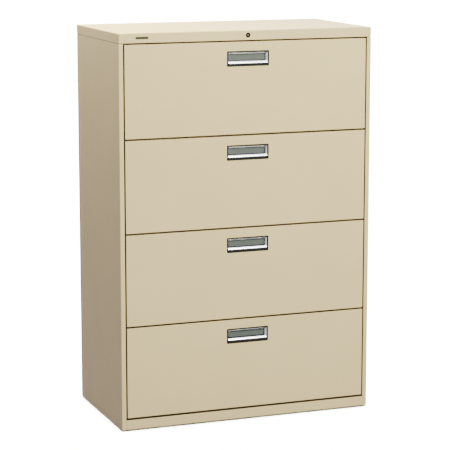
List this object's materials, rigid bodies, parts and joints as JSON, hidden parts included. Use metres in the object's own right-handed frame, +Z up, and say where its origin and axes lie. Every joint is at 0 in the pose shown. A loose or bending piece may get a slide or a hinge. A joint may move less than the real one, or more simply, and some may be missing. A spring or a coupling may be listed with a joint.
{
  "type": "lateral filing cabinet",
  "caption": "Wide putty-coloured steel lateral filing cabinet with full-width drawers, recessed plated handles, a key lock in the top rail and levelling feet.",
  "frame": {"origin": "on the floor under the middle of the cabinet", "axes": "+X to the right seen from the front, -Y out of the drawer fronts, +Z up"},
  "size_m": [0.9144, 0.489, 1.3525],
  "materials": {
    "paint": "putty powder coat, fine orange peel, semi-gloss",
    "galvanised": "zinc-coated sheet, satin",
    "cast_weight": "rough, black painted",
    "badge": "dark anodised, satin",
    "zinc_plate": "zinc plated, satin",
    "black_bezel": "black, semi-gloss",
    "nickel": "nickel plated",
    "nylon": "black moulded",
    "chrome": "bright plated",
    "label_grey": "satin grey, brushed sideways"
  },
  "bodies": {
    "case": {"top_cover": "paint", "left_side_panel": "paint", "right_side_panel": "paint", "back_panel": "paint", "base_rail": "paint", "base_pan": "galvanised", "uprights": "galvanised", "counterweight": "cast_weight", "badge_plate": "badge", "case_screws": "zinc_plate", "lock_housing": "black_bezel", "rod_guides": "galvanised", "drawer_1_slides_outer": "galvanised", "drawer_2_slides_outer": "galvanised", "drawer_3_slides_outer": "galvanised", "drawer_4_slides_outer": "galvanised"},
    "drawer_1": {"drawer_1_front": "paint", "drawer_1_liner": "paint", "drawer_1_tray": "paint", "drawer_1_hang_rails": "galvanised", "drawer_1_handle": "chrome", "drawer_1_label_holder": "label_grey", "drawer_1_catch": "zinc_plate", "drawer_1_slides_inner": "galvanised"},
    "middle_slides_1": {"drawer_1_slides_middle": "galvanised"},
    "drawer_2": {"drawer_2_front": "paint", "drawer_2_liner": "paint", "drawer_2_tray": "paint", "drawer_2_hang_rails": "galvanised", "drawer_2_handle": "chrome", "drawer_2_label_holder": "label_grey", "drawer_2_catch": "zinc_plate", "drawer_2_slides_inner": "galvanised"},
    "middle_slides_2": {"drawer_2_slides_middle": "galvanised"},
    "drawer_3": {"drawer_3_front": "paint", "drawer_3_liner": "paint", "drawer_3_tray": "paint", "drawer_3_hang_rails": "galvanised", "drawer_3_handle": "chrome", "drawer_3_label_holder": "label_grey", "drawer_3_catch": "zinc_plate", "drawer_3_slides_inner": "galvanised"},
    "middle_slides_3": {"drawer_3_slides_middle": "galvanised"},
    "drawer_4": {"drawer_4_front": "paint", "drawer_4_liner": "paint", "drawer_4_tray": "paint", "drawer_4_hang_rails": "galvanised", "drawer_4_handle": "chrome", "drawer_4_label_holder": "label_grey", "drawer_4_catch": "zinc_plate", "drawer_4_slides_inner": "galvanised"},
    "middle_slides_4": {"drawer_4_slides_middle": "galvanised"},
    "lock_plug": {"lock_plug": "nickel", "lock_cam": "zinc_plate"},
    "lock_bar": {"lock_bar": "zinc_plate"},
    "interlock_rod": {"interlock_rod": "zinc_plate"},
    "foot_front_left": {"foot_front_left": "nylon"},
    "foot_front_right": {"foot_front_right": "nylon"},
    "foot_back_left": {"foot_back_left": "nylon"},
    "foot_back_right": {"foot_back_right": "nylon"}
  },
  "joints": [
    {"name": "drawer_1_slide", "type": "slide", "parent": "case", "child": "drawer_1", "axis": [0, -1, 0], "range_m": [0, 0.4]},
    {"name": "drawer_2_slide", "type": "slide", "parent": "case", "child": "drawer_2", "axis": [0, -1, 0], "range_m": [0, 0.4]},
    {"name": "drawer_3_slide", "type": "slide", "parent": "case", "child": "drawer_3", "axis": [0, -1, 0], "range_m": [0, 0.4]},
    {"name": "drawer_4_slide", "type": "slide", "parent": "case", "child": "drawer_4", "axis": [0, -1, 0], "range_m": [0, 0.4]},
    {"name": "middle_slides_1_slide", "type": "slide", "parent": "case", "child": "middle_slides_1", "axis": [0, -1, 0], "range_m": [0, 0.2]},
    {"name": "middle_slides_2_slide", "type": "slide", "parent": "case", "child": "middle_slides_2", "axis": [0, -1, 0], "range_m": [0, 0.2]},
    {"name": "middle_slides_3_slide", "type": "slide", "parent": "case", "child": "middle_slides_3", "axis": [0, -1, 0], "range_m": [0, 0.2]},
    {"name": "middle_slides_4_slide", "type": "slide", "parent": "case", "child": "middle_slides_4", "axis": [0, -1, 0], "range_m": [0, 0.2]},
    {"name": "interlock_rod_lift", "type": "slide", "parent": "case", "child": "interlock_rod", "axis": [0, 0, 1], "range_m": [0, 0.006]},
    {"name": "lock_turn", "type": "hinge", "parent": "case", "child": "lock_plug", "pos_m": [0, -0.243, 1.33625], "axis": [0, -1, 0], "range_deg": [0, 90]},
    {"name": "lock_bar_slide", "type": "slide", "parent": "case", "child": "lock_bar", "axis": [1, 0, 0], "range_m": [0, 0.008]},
    {"name": "foot_front_left_turn", "type": "hinge", "parent": "case", "child": "foot_front_left", "pos_m": [-0.4152, -0.197, 0.003], "axis": [0, 0, 1], "continuous": true},
    {"name": "foot_front_right_turn", "type": "hinge", "parent": "case", "child": "foot_front_right", "pos_m": [0.4152, -0.197, 0.003], "axis": [0, 0, 1], "continuous": true},
    {"name": "foot_back_left_turn", "type": "hinge", "parent": "case", "child": "foot_back_left", "pos_m": [-0.4152, 0.1985, 0.003], "axis": [0, 0, 1], "continuous": true},
    {"name": "foot_back_right_turn", "type": "hinge", "parent": "case", "child": "foot_back_right", "pos_m": [0.4152, 0.1985, 0.003], "axis": [0, 0, 1], "continuous": true}
  ],
  "couplings": [
    {"joint": "middle_slides_1_slide", "follows": "drawer_1_slide", "ratio": 0.5},
    {"joint": "middle_slides_2_slide", "follows": "drawer_2_slide", "ratio": 0.5},
    {"joint": "middle_slides_3_slide", "follows": "drawer_3_slide", "ratio": 0.5},
    {"joint": "middle_slides_4_slide", "follows": "drawer_4_slide", "ratio": 0.5},
    {"joint": "lock_bar_slide", "follows": "interlock_rod_lift", "ratio": 1.3333},
    {"joint": "lock_turn", "follows": "interlock_rod_lift", "rad_per_m": 261.8}
  ]
}
